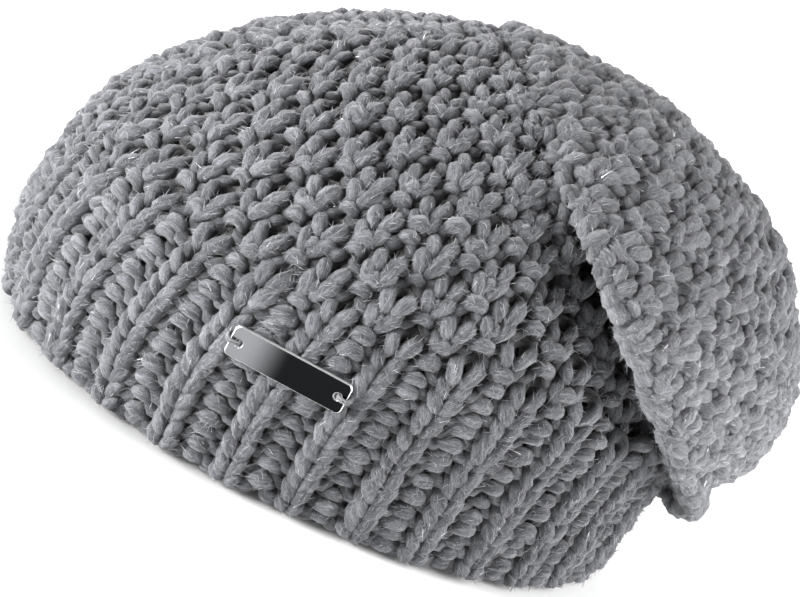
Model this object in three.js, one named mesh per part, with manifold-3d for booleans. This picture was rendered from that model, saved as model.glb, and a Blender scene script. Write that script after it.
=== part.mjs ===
// Chunky knitted winter hat: a ribbed brim, a moss-stitch crown whose upper part slouches back over
// the lower part in one deep fold, and a small metal tag sewn to the brim with two thread loops.
// Millimetres. The hat stands on its cast-on edge: +Z up, -Y the front, +Y the back, +X the
// wearer's left, where the tag is. The origin is under the middle of the hat, on the surface.

import * as THREE from "three";
import Module from "manifold-3d";

// Driving dimensions
const WALL = 8.5; // thickness of the cloth, knitted from 4.4 mm yarn
const GAP = 0.3; // clearance between pieces that touch
const BRIM_ROWS = 11; // rows of rib, from the cast-on edge to the first moss row
const RIBS = 30; // knit columns round the brim
const RIB_DEPTH = 3; // how far the purl valleys lie behind the knit columns
const EDGE_ROUND = 2; // rounding of the brim's lower and upper edge
const BACK_CLOSING = 0.24; // how much closer the ribs stand at the back than at the front
const POINTS_PER_RIB = 4;
const FACET_TOLERANCE = 0.25; // how far the crown's facets may be merged
const CROWN_POINTS = 56; // points round each section of the crown
const TAG = { length: 38, height: 10.5, thick: 1.2, corner: 1.8, bevel: 0.3, hole: 1.2, inset: 2.9 };
const TAG_ANGLE = THREE.MathUtils.degToRad(20.8); // place round the brim, from +X to the front
const TAG_ROW = 8.75; // height of the tag's middle, in rows
const THREAD = { radius: 0.55, rise: 0.95, over: 1.0, foot: 1.2, steps: 12 };

// Outer sections of the hat. Each is a rounded ring: centre x, y and z, the tilt of its plane from
// level (its front edge rising), the turn of that tilt about Z, and its half width to the sides,
// to the front and to the back. Square is the power of the superellipse, 2 being an ellipse.
// The lower table is the part pulled over the head, closed at the top as a dome.
const BODY_SECTIONS = [
  { row: 0, x: 0, y: 0, z: 0, tilt: 0, turn: 0, side: 84, front: 110, back: 108, square: 2.15 },
  { row: 5, x: 0, y: 0, z: 27, tilt: 0, turn: 0, side: 88, front: 115, back: 110, square: 2.15 },
  { row: 11, x: 0, y: 2, z: 58, tilt: 0, turn: 0, side: 93, front: 112, back: 110, square: 2.15 },
  { row: 15, x: 0, y: 4, z: 76, tilt: 2, turn: 0, side: 92, front: 101, back: 107, square: 2.15 },
  { row: 18, x: 0, y: 8, z: 91, tilt: 4, turn: 0, side: 86, front: 87, back: 98, square: 2.15 },
  { row: 21, x: 0, y: 13, z: 106, tilt: 6, turn: 0, side: 75, front: 71, back: 86, square: 2.1 },
  { row: 24, x: 0, y: 21, z: 120, tilt: 8, turn: 0, side: 58, front: 53, back: 67, square: 2 },
  { row: 27, x: 0, y: 29, z: 131, tilt: 9, turn: 0, side: 33, front: 31, back: 38, square: 2 },
  { row: 29, x: 0, y: 34, z: 134.5, tilt: 10, turn: 0, side: 1, front: 1, back: 1, square: 2 },
];
// The upper table is the slouched part, from the underside of its lip, round the lip at row 30,
// to the gathered apex at the back.
const SLOUCH_SECTIONS = [
  { row: 28.5, x: 0, y: 46, z: 88, tilt: 42, turn: 0, side: 72, front: 60, back: 76, square: 2.1 },
  { row: 30, x: 0, y: 49, z: 87, tilt: 42, turn: 0, side: 86, front: 70, back: 89, square: 2.1 },
  { row: 32, x: -1, y: 55, z: 88, tilt: 45, turn: 2, side: 88, front: 72, back: 90, square: 2.1 },
  { row: 36, x: -4, y: 69, z: 87, tilt: 50, turn: 6, side: 82, front: 70, back: 76, square: 2.1 },
  { row: 41, x: -9, y: 88, z: 86, tilt: 56, turn: 10, side: 71, front: 64, back: 61, square: 2.1 },
  { row: 46, x: -14, y: 107, z: 83, tilt: 62, turn: 14, side: 53, front: 52, back: 41, square: 2 },
  { row: 50, x: -17, y: 121, z: 81, tilt: 66, turn: 16, side: 30, front: 35, back: 20, square: 2 },
  { row: 53, x: -19, y: 128, z: 80, tilt: 68, turn: 18, side: 1, front: 1, back: 1, square: 2 },
];
const BODY_ROWS = [11, 12.5, 14, 15.5, 17, 18.5, 20, 21.5, 23, 24.5, 26, 27, 28];
const BRIM_OUTER_ROWS = [0, 2.5, 5, 8, BRIM_ROWS];
const UNDER_FOLD_ROWS = [0, 2.5, 5, 8, 11, 12.5, 14, 15.5, 17, 18.5, 20]; // body wall behind the lip
const SLOUCH_ROWS = [
  28.5, 29, 29.5, 30, 30.7, 31.4, 32.2, 33.2, 35, 37, 39.5, 42, 44, 46, 48, 50, 51.5, 52.5,
];
const SLOUCH_INNER_FIRST = 32.2; // the lip's underside keeps a full wall in front of this section
const SLOUCH_INNER_NEXT = 37; // past the lip's tight turn

// Slope of a table column at one of its rows, kept flat at turning points so that the curve
// through the rows never overshoots them
function columnSlope(table, column, index) {
  const rise = (i) => (table[i + 1][column] - table[i][column]) / (table[i + 1].row - table[i].row);
  if (index === 0) {
    return rise(0);
  }
  if (index === table.length - 1) {
    return rise(index - 1);
  }
  const before = rise(index - 1);
  const after = rise(index);
  return before * after <= 0 ? 0 : (2 * before * after) / (before + after);
}

// Value of one column at any row, by a cubic between the two table rows beside it
function columnAt(table, column, row) {
  let index = 0;
  while (index < table.length - 2 && table[index + 1].row < row) {
    index += 1;
  }
  const span = table[index + 1].row - table[index].row;
  const part = (row - table[index].row) / span;
  const startSlope = columnSlope(table, column, index) * span;
  const endSlope = columnSlope(table, column, index + 1) * span;
  const start = table[index][column];
  const end = table[index + 1][column];
  const square = part * part;
  const cube = square * part;
  return (
    start * (2 * cube - 3 * square + 1) +
    startSlope * (cube - 2 * square + part) +
    end * (3 * square - 2 * cube) +
    endSlope * (cube - square)
  );
}

const signedPower = (value, power) => Math.sign(value) * Math.abs(value) ** power;

// Point of the surface at a row and an angle. Angle 0 is the +X side and a quarter turn the front.
// An inset makes the ring smaller within its own plane.
function surfacePoint(table, row, angle, inset = 0) {
  const at = (column) => columnAt(table, column, row);
  const tilt = THREE.MathUtils.degToRad(at("tilt"));
  const turn = THREE.MathUtils.degToRad(at("turn"));
  const sideways = new THREE.Vector3(Math.cos(turn), Math.sin(turn), 0);
  const forward = new THREE.Vector3(Math.sin(turn), -Math.cos(turn), 0)
    .multiplyScalar(Math.cos(tilt))
    .add(new THREE.Vector3(0, 0, Math.sin(tilt)));
  const power = 2 / at("square");
  const width = at("side") - inset;
  const reach = (Math.sin(angle) > 0 ? at("front") : at("back")) - inset;
  return new THREE.Vector3(at("x"), at("y"), at("z"))
    .addScaledVector(sideways, width * signedPower(Math.cos(angle), power))
    .addScaledVector(forward, reach * signedPower(Math.sin(angle), power));
}

// Outward normal of the surface, from the directions along the row and up the hat
function surfaceNormal(table, row, angle) {
  const step = 0.02;
  const lowest = table[0].row;
  const highest = table[table.length - 1].row;
  const along = surfacePoint(table, row, angle + step).sub(surfacePoint(table, row, angle - step));
  const up = surfacePoint(table, Math.min(row + step, highest), angle).sub(
    surfacePoint(table, Math.max(row - step, lowest), angle)
  );
  return up.cross(along).normalize();
}

// One ring of points, moved inward by the given depth
function surfaceRing(table, row, angles, depth) {
  return angles.map((angle) =>
    surfacePoint(table, row, angle).addScaledVector(surfaceNormal(table, row, angle), -depth)
  );
}

const levelRing = (ring, height) => ring.map((point) => point.clone().setZ(height));

// Equal angles round the crown
const crownAngles = Array.from({ length: CROWN_POINTS }, (_, i) => (2 * Math.PI * i) / CROWN_POINTS);

// Angles that share the brim out evenly by length, with the ribs a little closer at the back
function brimAngles(count) {
  const fine = 2880;
  const travelled = [0];
  let last = surfacePoint(BODY_SECTIONS, 5, 0);
  for (let i = 1; i <= fine; i += 1) {
    const next = surfacePoint(BODY_SECTIONS, 5, (2 * Math.PI * i) / fine);
    const middle = (2 * Math.PI * (i - 0.5)) / fine;
    const closing = 1 + BACK_CLOSING * ((1 - Math.sin(middle)) / 2) ** 2;
    travelled.push(travelled[i - 1] + next.distanceTo(last) * closing);
    last = next;
  }
  const angles = [];
  let i = 0;
  for (let k = 0; k < count; k += 1) {
    const wanted = (travelled[fine] * k) / count;
    while (travelled[i + 1] < wanted) {
      i += 1;
    }
    const part = (wanted - travelled[i]) / (travelled[i + 1] - travelled[i]);
    angles.push((2 * Math.PI * (i + part)) / fine);
  }
  return angles;
}

// Closed geometry through rings of equal length. A solid of its own is capped at both ends with a
// fan round the ring's middle. A wall instead joins its last ring to its first.
function loftGeometry(rings, capped) {
  const count = rings[0].length;
  const points = rings.flat();
  const faces = [];
  const bands = capped ? rings.length - 1 : rings.length;
  for (let band = 0; band < bands; band += 1) {
    const low = band * count;
    const high = ((band + 1) % rings.length) * count;
    for (let i = 0; i < count; i += 1) {
      const j = (i + 1) % count;
      faces.push(low + i, high + i, low + j, low + j, high + i, high + j);
    }
  }
  if (capped) {
    const first = 0;
    const last = (rings.length - 1) * count;
    const middleOf = (ring) =>
      ring.reduce((sum, point) => sum.add(point), new THREE.Vector3()).divideScalar(count);
    points.push(middleOf(rings[0]), middleOf(rings[rings.length - 1]));
    for (let i = 0; i < count; i += 1) {
      const j = (i + 1) % count;
      faces.push(points.length - 2, first + i, first + j);
      faces.push(points.length - 1, last + j, last + i);
    }
  }
  const geometry = new THREE.BufferGeometry().setFromPoints(points);
  geometry.setIndex(faces);
  return geometry;
}

// Height of the brim's flat upper edge
const BRIM_TOP = columnAt(BODY_SECTIONS, "z", BRIM_ROWS) - GAP / 2;

// Ribbed brim: one wall with a flat lower and upper edge and rounded outer corners
function brimGeometry() {
  const angles = brimAngles(RIBS * POINTS_PER_RIB);
  const valley = (i) => (RIB_DEPTH * (1 - Math.cos((2 * Math.PI * i) / POINTS_PER_RIB))) / 2;
  const ring = (row, inset, height, ribbed) =>
    angles.map((angle, i) => {
      const point = surfacePoint(BODY_SECTIONS, row, angle);
      const outward = surfaceNormal(BODY_SECTIONS, row, angle).setZ(0).normalize();
      point.addScaledVector(outward, -inset - (ribbed ? valley(i) : 0));
      return point.setZ(height);
    });
  const heightOf = (row) => columnAt(BODY_SECTIONS, "z", row);
  const between = BRIM_OUTER_ROWS.slice(1, -1);
  const outer = [
    ring(0, EDGE_ROUND, 0, true),
    ring(0, 0, EDGE_ROUND, true),
    ...between.map((row) => ring(row, 0, heightOf(row), true)),
    ring(BRIM_ROWS, 0, BRIM_TOP - EDGE_ROUND, true),
    ring(BRIM_ROWS, EDGE_ROUND, BRIM_TOP, true),
  ];
  const inner = [
    ring(BRIM_ROWS, WALL, BRIM_TOP, false),
    ring(5, WALL, heightOf(5), false),
    ring(0, WALL, 0, false),
  ];
  return loftGeometry([...outer, ...inner], false);
}

// Crown: the outer forms of body and slouch joined, less the inner forms, which leaves one hollow
// wall that is open at the brim. The slouch hangs down outside the brim at the back, and behind its
// lip the cloth lies double: the body's own wall and the underside of the fold.
async function crownGeometry() {
  const wasm = await Module();
  wasm.setup();
  const solidOf = (rings) => {
    const geometry = loftGeometry(rings, true);
    const vertProperties = new Float32Array(geometry.attributes.position.array);
    const triVerts = new Uint32Array(geometry.index.array);
    return new wasm.Manifold(new wasm.Mesh({ numProp: 3, vertProperties, triVerts }));
  };
  const floor = BRIM_TOP + GAP;
  const shell = (table, rows, angles, depth) => rows.map((row) => surfaceRing(table, row, angles, depth));

  const bodyOuter = shell(BODY_SECTIONS, BODY_ROWS, crownAngles, 0);
  bodyOuter[0] = levelRing(bodyOuter[0], floor);
  const bodyInner = shell(BODY_SECTIONS, BODY_ROWS, crownAngles, WALL);
  bodyInner[0] = levelRing(bodyInner[0], floor);
  bodyInner.unshift(levelRing(bodyInner[0], floor - WALL));
  const slouchOuter = shell(SLOUCH_SECTIONS, SLOUCH_ROWS, crownAngles, 0);
  const innerRows = SLOUCH_ROWS.filter((row) => row >= SLOUCH_INNER_NEXT);
  const slouchInner = shell(SLOUCH_SECTIONS, innerRows, crownAngles, WALL);
  slouchInner.unshift(
    crownAngles.map((angle) => surfacePoint(SLOUCH_SECTIONS, SLOUCH_INNER_FIRST, angle, WALL))
  );
  const underFold = shell(BODY_SECTIONS, UNDER_FOLD_ROWS, crownAngles, -WALL);
  const brimSpace = shell(BODY_SECTIONS, BRIM_OUTER_ROWS, brimAngles(RIBS * POINTS_PER_RIB), -GAP);
  brimSpace[0] = levelRing(brimSpace[0], -WALL);
  const brimTopRing = brimSpace.pop();
  brimSpace.push(levelRing(brimTopRing, BRIM_TOP - EDGE_ROUND), levelRing(brimTopRing, floor));

  const outer = solidOf(bodyOuter).add(solidOf(slouchOuter).subtract(solidOf(brimSpace)));
  const inner = solidOf(bodyInner).add(solidOf(slouchInner).subtract(solidOf(underFold)));
  const largestFirst = (one, other) => other.volume() - one.volume();
  const [wall] = outer.subtract(inner).decompose().sort(largestFirst); // without loose slivers
  const cloth = wall.simplify(FACET_TOLERANCE).getMesh();
  const geometry = new THREE.BufferGeometry();
  geometry.setAttribute("position", new THREE.BufferAttribute(cloth.vertProperties, 3));
  geometry.setIndex(new THREE.BufferAttribute(cloth.triVerts, 1));
  return geometry;
}

// Tag plate, its back on z = 0: a rounded rectangle with a bevelled rim and two sewing holes
function tagGeometry() {
  const halfLength = TAG.length / 2 - TAG.bevel;
  const halfHeight = TAG.height / 2 - TAG.bevel;
  const corner = TAG.corner - TAG.bevel;
  const outline = new THREE.Shape();
  outline.absarc(halfLength - corner, halfHeight - corner, corner, 0, Math.PI / 2);
  outline.absarc(corner - halfLength, halfHeight - corner, corner, Math.PI / 2, Math.PI);
  outline.absarc(corner - halfLength, corner - halfHeight, corner, Math.PI, 1.5 * Math.PI);
  outline.absarc(halfLength - corner, corner - halfHeight, corner, 1.5 * Math.PI, 2 * Math.PI);
  for (const end of [-1, 1]) {
    const hole = new THREE.Path();
    hole.absarc(end * (TAG.length / 2 - TAG.inset), 0, TAG.hole + TAG.bevel, 0, 2 * Math.PI, true);
    outline.holes.push(hole);
  }
  const geometry = new THREE.ExtrudeGeometry(outline, {
    depth: TAG.thick - 2 * TAG.bevel,
    bevelThickness: TAG.bevel,
    bevelSize: TAG.bevel,
    bevelSegments: 1,
    curveSegments: 5,
  });
  return geometry.translate(0, 0, TAG.bevel);
}

// Thread loop at one end of the tag: up through the hole, over the short edge and down beside it
function threadGeometry(end) {
  const holeX = TAG.length / 2 - TAG.inset;
  const outX = TAG.length / 2 + THREAD.over;
  const top = TAG.thick + THREAD.rise;
  const route = new THREE.CatmullRomCurve3([
    new THREE.Vector3(end * holeX, 0, 0),
    new THREE.Vector3(end * (holeX + 0.1), 0, TAG.thick),
    new THREE.Vector3(end * (holeX + 1.2), 0, top),
    new THREE.Vector3(end * (outX - 1), 0, top),
    new THREE.Vector3(end * outX, 0, TAG.thick / 2),
    new THREE.Vector3(end * outX, 0, -THREAD.foot),
  ]);
  const section = new THREE.Shape();
  section.absarc(0, 0, THREAD.radius, 0, 2 * Math.PI);
  return new THREE.ExtrudeGeometry(section, {
    extrudePath: route,
    steps: THREAD.steps,
    curveSegments: 4,
    bevelEnabled: false,
  });
}

function addMesh(parent, name, geometry, colour, roughness, metalness) {
  const material = new THREE.MeshStandardMaterial({ color: colour, roughness, metalness });
  const mesh = new THREE.Mesh(geometry, material);
  mesh.name = name;
  parent.add(mesh);
}

const hat = new THREE.Group();
addMesh(hat, "ribbed_brim", brimGeometry(), "#8d8f92", 0.95, 0);
addMesh(hat, "crown", await crownGeometry(), "#8d8f92", 0.95, 0);

// The tag and its threads, lying against the brim
const tag = new THREE.Group();
const tagNormal = surfaceNormal(BODY_SECTIONS, TAG_ROW, TAG_ANGLE);
const tagAlong = new THREE.Vector3(0, 0, 1).cross(tagNormal).normalize();
const tagUp = tagNormal.clone().cross(tagAlong);
tag.quaternion.setFromRotationMatrix(new THREE.Matrix4().makeBasis(tagAlong, tagUp, tagNormal));
tag.position.copy(surfacePoint(BODY_SECTIONS, TAG_ROW, TAG_ANGLE)).addScaledVector(tagNormal, GAP);
addMesh(tag, "tag_plate", tagGeometry(), "#b9bbbe", 0.25, 1);
addMesh(tag, "tag_thread_front", threadGeometry(-1), "#b4b6b8", 0.8, 0);
addMesh(tag, "tag_thread_rear", threadGeometry(1), "#b4b6b8", 0.8, 0);
hat.add(tag);

// The origin goes under the middle of the hat
const bounds = new THREE.Box3().setFromObject(hat, true);
const middle = bounds.getCenter(new THREE.Vector3());
hat.position.set(-middle.x, -middle.y, -bounds.min.z);

export default hat;
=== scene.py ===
"""A chunky knitted slouch hat, stitch by stitch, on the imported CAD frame.

Every course of the knitting is one yarn that runs round the hat in real loops: the ribbed brim, the
double moss stitch of the body, and the slouched bag that falls back over it. Lengths in the code are
millimetres, because knitting is measured so, and they become metres when a mesh is made.
"""
import logging
import math
from dataclasses import dataclass, field
from enum import Enum

import bpy
import numpy as np
from mathutils import Matrix, Vector
from mathutils.bvhtree import BVHTree


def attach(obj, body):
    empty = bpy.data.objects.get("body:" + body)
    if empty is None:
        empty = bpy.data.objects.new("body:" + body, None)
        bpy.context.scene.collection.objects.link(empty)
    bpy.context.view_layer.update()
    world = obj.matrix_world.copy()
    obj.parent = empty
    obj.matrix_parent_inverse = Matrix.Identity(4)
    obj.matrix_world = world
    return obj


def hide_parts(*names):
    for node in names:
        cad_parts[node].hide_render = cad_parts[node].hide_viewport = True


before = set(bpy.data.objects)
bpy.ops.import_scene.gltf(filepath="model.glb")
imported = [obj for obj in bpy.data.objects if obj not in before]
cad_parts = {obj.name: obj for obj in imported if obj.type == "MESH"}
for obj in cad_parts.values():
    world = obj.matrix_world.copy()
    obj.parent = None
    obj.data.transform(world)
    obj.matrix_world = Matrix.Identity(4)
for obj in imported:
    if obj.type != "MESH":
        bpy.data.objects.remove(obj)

LOG = logging.getLogger("knit_hat")

MM = 0.001  # millimetres to metres
FRAME_SHIFT = np.array([-0.7030, -8.6982, 0.0])  # from the middle of the brim to the row frame
WALL = 8.5  # thickness of the cloth
BRIM_ROWS = 11  # courses of rib above the cast-on edge
BRIM_WALES = 60  # wales round the brim, knit and purl by turns
BACK_CLOSING = 0.24  # how much closer the wales stand at the back than at the front


def linear_colour(hex_value: str) -> tuple[float, float, float, float]:
    """Turns an sRGB hex colour into linear light.

    Args:
        hex_value: six hex digits with a leading hash sign.

    Returns:
        Red, green, blue and alpha as linear numbers.
    """
    channels = [int(hex_value[i : i + 2], 16) / 255 for i in (1, 3, 5)]
    linear = [c / 12.92 if c <= 0.04045 else ((c + 0.055) / 1.055) ** 2.4 for c in channels]
    return (linear[0], linear[1], linear[2], 1.0)


def smooth_step(value: np.ndarray) -> np.ndarray:
    """Eases a ramp from 0 to 1, flat at both ends."""
    held = np.clip(value, 0.0, 1.0)
    return held * held * (3.0 - 2.0 * held)


def add_node(
    tree: bpy.types.NodeTree,
    kind: str,
    settings: dict[str, object] | None = None,
    inputs: dict[str | int, object] | None = None,
) -> bpy.types.Node:
    """Adds a node with its settings, and sets or links its inputs.

    Args:
        tree: the node tree that gets the node.
        kind: the node's type name.
        settings: properties of the node, such as its operation.
        inputs: values or output sockets by input name or number.

    Returns:
        The new node.
    """
    node = tree.nodes.new(kind)
    for name, value in (settings or {}).items():
        setattr(node, name, value)
    for name, value in (inputs or {}).items():
        socket = node.inputs[name]
        if isinstance(value, bpy.types.NodeSocket):
            tree.links.new(value, socket)
        else:
            socket.default_value = value
    return node


# The shape of the hat

@dataclass(frozen=True)
class Section:
    """One rounded ring of the hat: its place, the tilt and turn of its plane, and its half widths."""

    row: float
    x: float
    y: float
    z: float
    tilt: float
    turn: float
    side: float
    front: float
    back: float
    square: float


BODY_SECTIONS = (
    Section(0, 0, 0, 0, 0, 0, 84, 110, 103, 2.15),
    Section(5, 0, 0, 27, 0, 0, 88, 115, 105, 2.15),
    Section(11, 0, 2, 58, 0, 0, 93, 112, 107, 2.15),
    Section(15, 0, 4, 76, 2, 0, 92, 101, 107, 2.15),
    Section(18, 0, 8, 91, 4, 0, 86, 87, 98, 2.15),
    Section(21, 0, 13, 106, 6, 0, 75, 71, 86, 2.1),
    Section(24, 0, 21, 120, 8, 0, 58, 53, 67, 2),
    Section(27, 0, 29, 131, 9, 0, 33, 31, 38, 2),
    Section(29, 0, 34, 134.5, 10, 0, 1, 1, 1, 2),
)
SLOUCH_SECTIONS = (
    Section(28.5, 0, 46, 88, 42, 0, 72, 60, 76, 2.1),
    Section(30, 0, 49, 87, 42, 0, 86, 70, 89, 2.1),
    Section(32, -1, 55, 88, 45, 2, 88, 72, 88, 2.1),
    Section(36, -4, 69, 87, 50, 6, 82, 70, 69, 2.1),
    Section(41, -9, 88, 86, 56, 10, 71, 64, 58, 2.1),
    Section(46, -14, 107, 83, 62, 14, 53, 52, 41, 2),
    Section(50, -17, 121, 81, 66, 16, 30, 35, 20, 2),
    Section(53, -19, 128, 80, 68, 18, 1, 1, 1, 2),
)
COLUMNS = ("x", "y", "z", "tilt", "turn", "side", "front", "back", "square")


class Surface:
    """A lofted surface through a table of sections, at any row and any angle round it."""

    def __init__(self, sections: tuple[Section, ...]) -> None:
        """Reads the table and works out its slopes, flat at turning points."""
        self.rows = np.array([s.row for s in sections], float)
        self.values = {c: np.array([getattr(s, c) for s in sections], float) for c in COLUMNS}
        self.slopes = {c: self._slopes(v) for c, v in self.values.items()}

    def _slopes(self, values: np.ndarray) -> np.ndarray:
        """Returns the slope of one column at each section."""
        rise = np.diff(values) / np.diff(self.rows)
        slopes = np.empty_like(values)
        slopes[0], slopes[-1] = rise[0], rise[-1]
        before, after = rise[:-1], rise[1:]
        same = before * after > 0
        total = np.where(same, before + after, 1.0)
        slopes[1:-1] = np.where(same, 2 * before * after / total, 0.0)
        return slopes

    def column(self, name: str, rows: np.ndarray) -> np.ndarray:
        """Returns one column of the table at any rows, by a cubic between two sections."""
        index = np.clip(np.searchsorted(self.rows, rows) - 1, 0, len(self.rows) - 2)
        span = self.rows[index + 1] - self.rows[index]
        part = (rows - self.rows[index]) / span
        values, slopes = self.values[name], self.slopes[name]
        square, cube = part**2, part**3
        return (
            values[index] * (2 * cube - 3 * square + 1)
            + slopes[index] * span * (cube - 2 * square + part)
            + values[index + 1] * (3 * square - 2 * cube)
            + slopes[index + 1] * span * (cube - square)
        )

    def points(self, rows: np.ndarray, angles: np.ndarray) -> np.ndarray:
        """Returns the surface's points.

        Args:
            rows: rows, in any shape that fits the angles'.
            angles: angles in radians, 0 on the +X side and a quarter turn at the front.

        Returns:
            Points in millimetres from the middle of the brim, with x, y, z last.
        """
        at = {name: self.column(name, rows) for name in COLUMNS}
        tilt, turn = np.radians(at["tilt"]), np.radians(at["turn"])
        power = 2 / at["square"]
        cosine, sine = np.cos(angles), np.sin(angles)
        across = at["side"] * np.sign(cosine) * np.abs(cosine) ** power
        reach = np.where(sine > 0, at["front"], at["back"]) * np.sign(sine) * np.abs(sine) ** power
        x = at["x"] + np.cos(turn) * across + np.sin(turn) * np.cos(tilt) * reach
        y = at["y"] + np.sin(turn) * across - np.cos(turn) * np.cos(tilt) * reach
        z = at["z"] + np.sin(tilt) * reach
        return np.stack(np.broadcast_arrays(x, y, z), axis=-1)

    def closed_tree(self, first: float, last: float) -> BVHTree:
        """Returns a search tree of the surface between two rows, closed at both ends."""
        rows = np.linspace(first, last, 60)
        angles = np.linspace(0, 2 * math.pi, 120, endpoint=False)
        grid = self.points(rows[:, None], angles[None, :])
        count = len(angles)
        points = [Vector(p) for p in grid.reshape(-1, 3)]
        faces = []
        for i in range(len(rows) - 1):
            for j in range(count):
                k = (j + 1) % count
                faces.append((i * count + j, (i + 1) * count + j, (i + 1) * count + k, i * count + k))
        points += [Vector(grid[0].mean(axis=0)), Vector(grid[-1].mean(axis=0))]
        top = (len(rows) - 1) * count
        for j in range(count):
            k = (j + 1) % count
            faces.append((len(points) - 2, j, k))
            faces.append((len(points) - 1, top + k, top + j))
        return BVHTree.FromPolygons(points, faces)


def depth_inside(
    tree: BVHTree, points: np.ndarray, directions: np.ndarray
) -> tuple[np.ndarray, np.ndarray]:
    """Measures points against a closed surface.

    Args:
        tree: the surface.
        points: the points.
        directions: an outward direction at each point.

    Returns:
        How deep each point lies inside, negative outside, and the cosine between its direction
        and the surface's nearest one.
    """
    depths, cosines = np.empty(len(points)), np.empty(len(points))
    for i, (point, direction) in enumerate(zip(points, directions)):
        near, normal, _, distance = tree.find_nearest(Vector(point))
        side = (Vector(point) - near).dot(normal)
        depths[i] = distance if side < 0 else -distance
        cosines[i] = normal.dot(Vector(direction))
    return depths, cosines


def brim_boundaries() -> np.ndarray:
    """Returns the angles of the edges between the brim's wales, from half a wale before angle 0."""
    surface = Surface(BODY_SECTIONS)
    angles = np.linspace(0, 2 * math.pi, 2881)
    ring = surface.points(np.array(5.0), angles)
    steps = np.linalg.norm(np.diff(ring, axis=0), axis=1)
    middle = (angles[1:] + angles[:-1]) / 2
    steps = steps * (1 + BACK_CLOSING * ((1 - np.sin(middle)) / 2) ** 2)
    travelled = np.concatenate([[0], np.cumsum(steps)])
    wanted = (np.arange(BRIM_WALES + 1) - 0.5) / BRIM_WALES * travelled[-1]
    wrapped = np.interp(wanted % travelled[-1], travelled, angles)
    wrapped[0] -= 2 * math.pi
    return wrapped


# The grid of stitches

@dataclass
class Sector:
    """A part of every course, from an anchor line where wales run straight to a dart where they end.

    The widths are the distances of the wale edges from the anchor at the level where all wales are
    knitted. Step is +1 if angles grow away from the anchor, and label is the number of the first
    wale, which says with its step whether a wale starts with knit or purl.
    """

    anchor: float
    dart: float
    edges: np.ndarray
    label: int
    label_step: int
    angle_table: np.ndarray = field(default_factory=lambda: np.zeros(0))
    reach: np.ndarray = field(default_factory=lambda: np.zeros(0))

    @property
    def forward(self) -> bool:
        """Says whether a course that runs by growing angle leaves the anchor in this sector."""
        return self.dart > self.anchor


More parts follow.
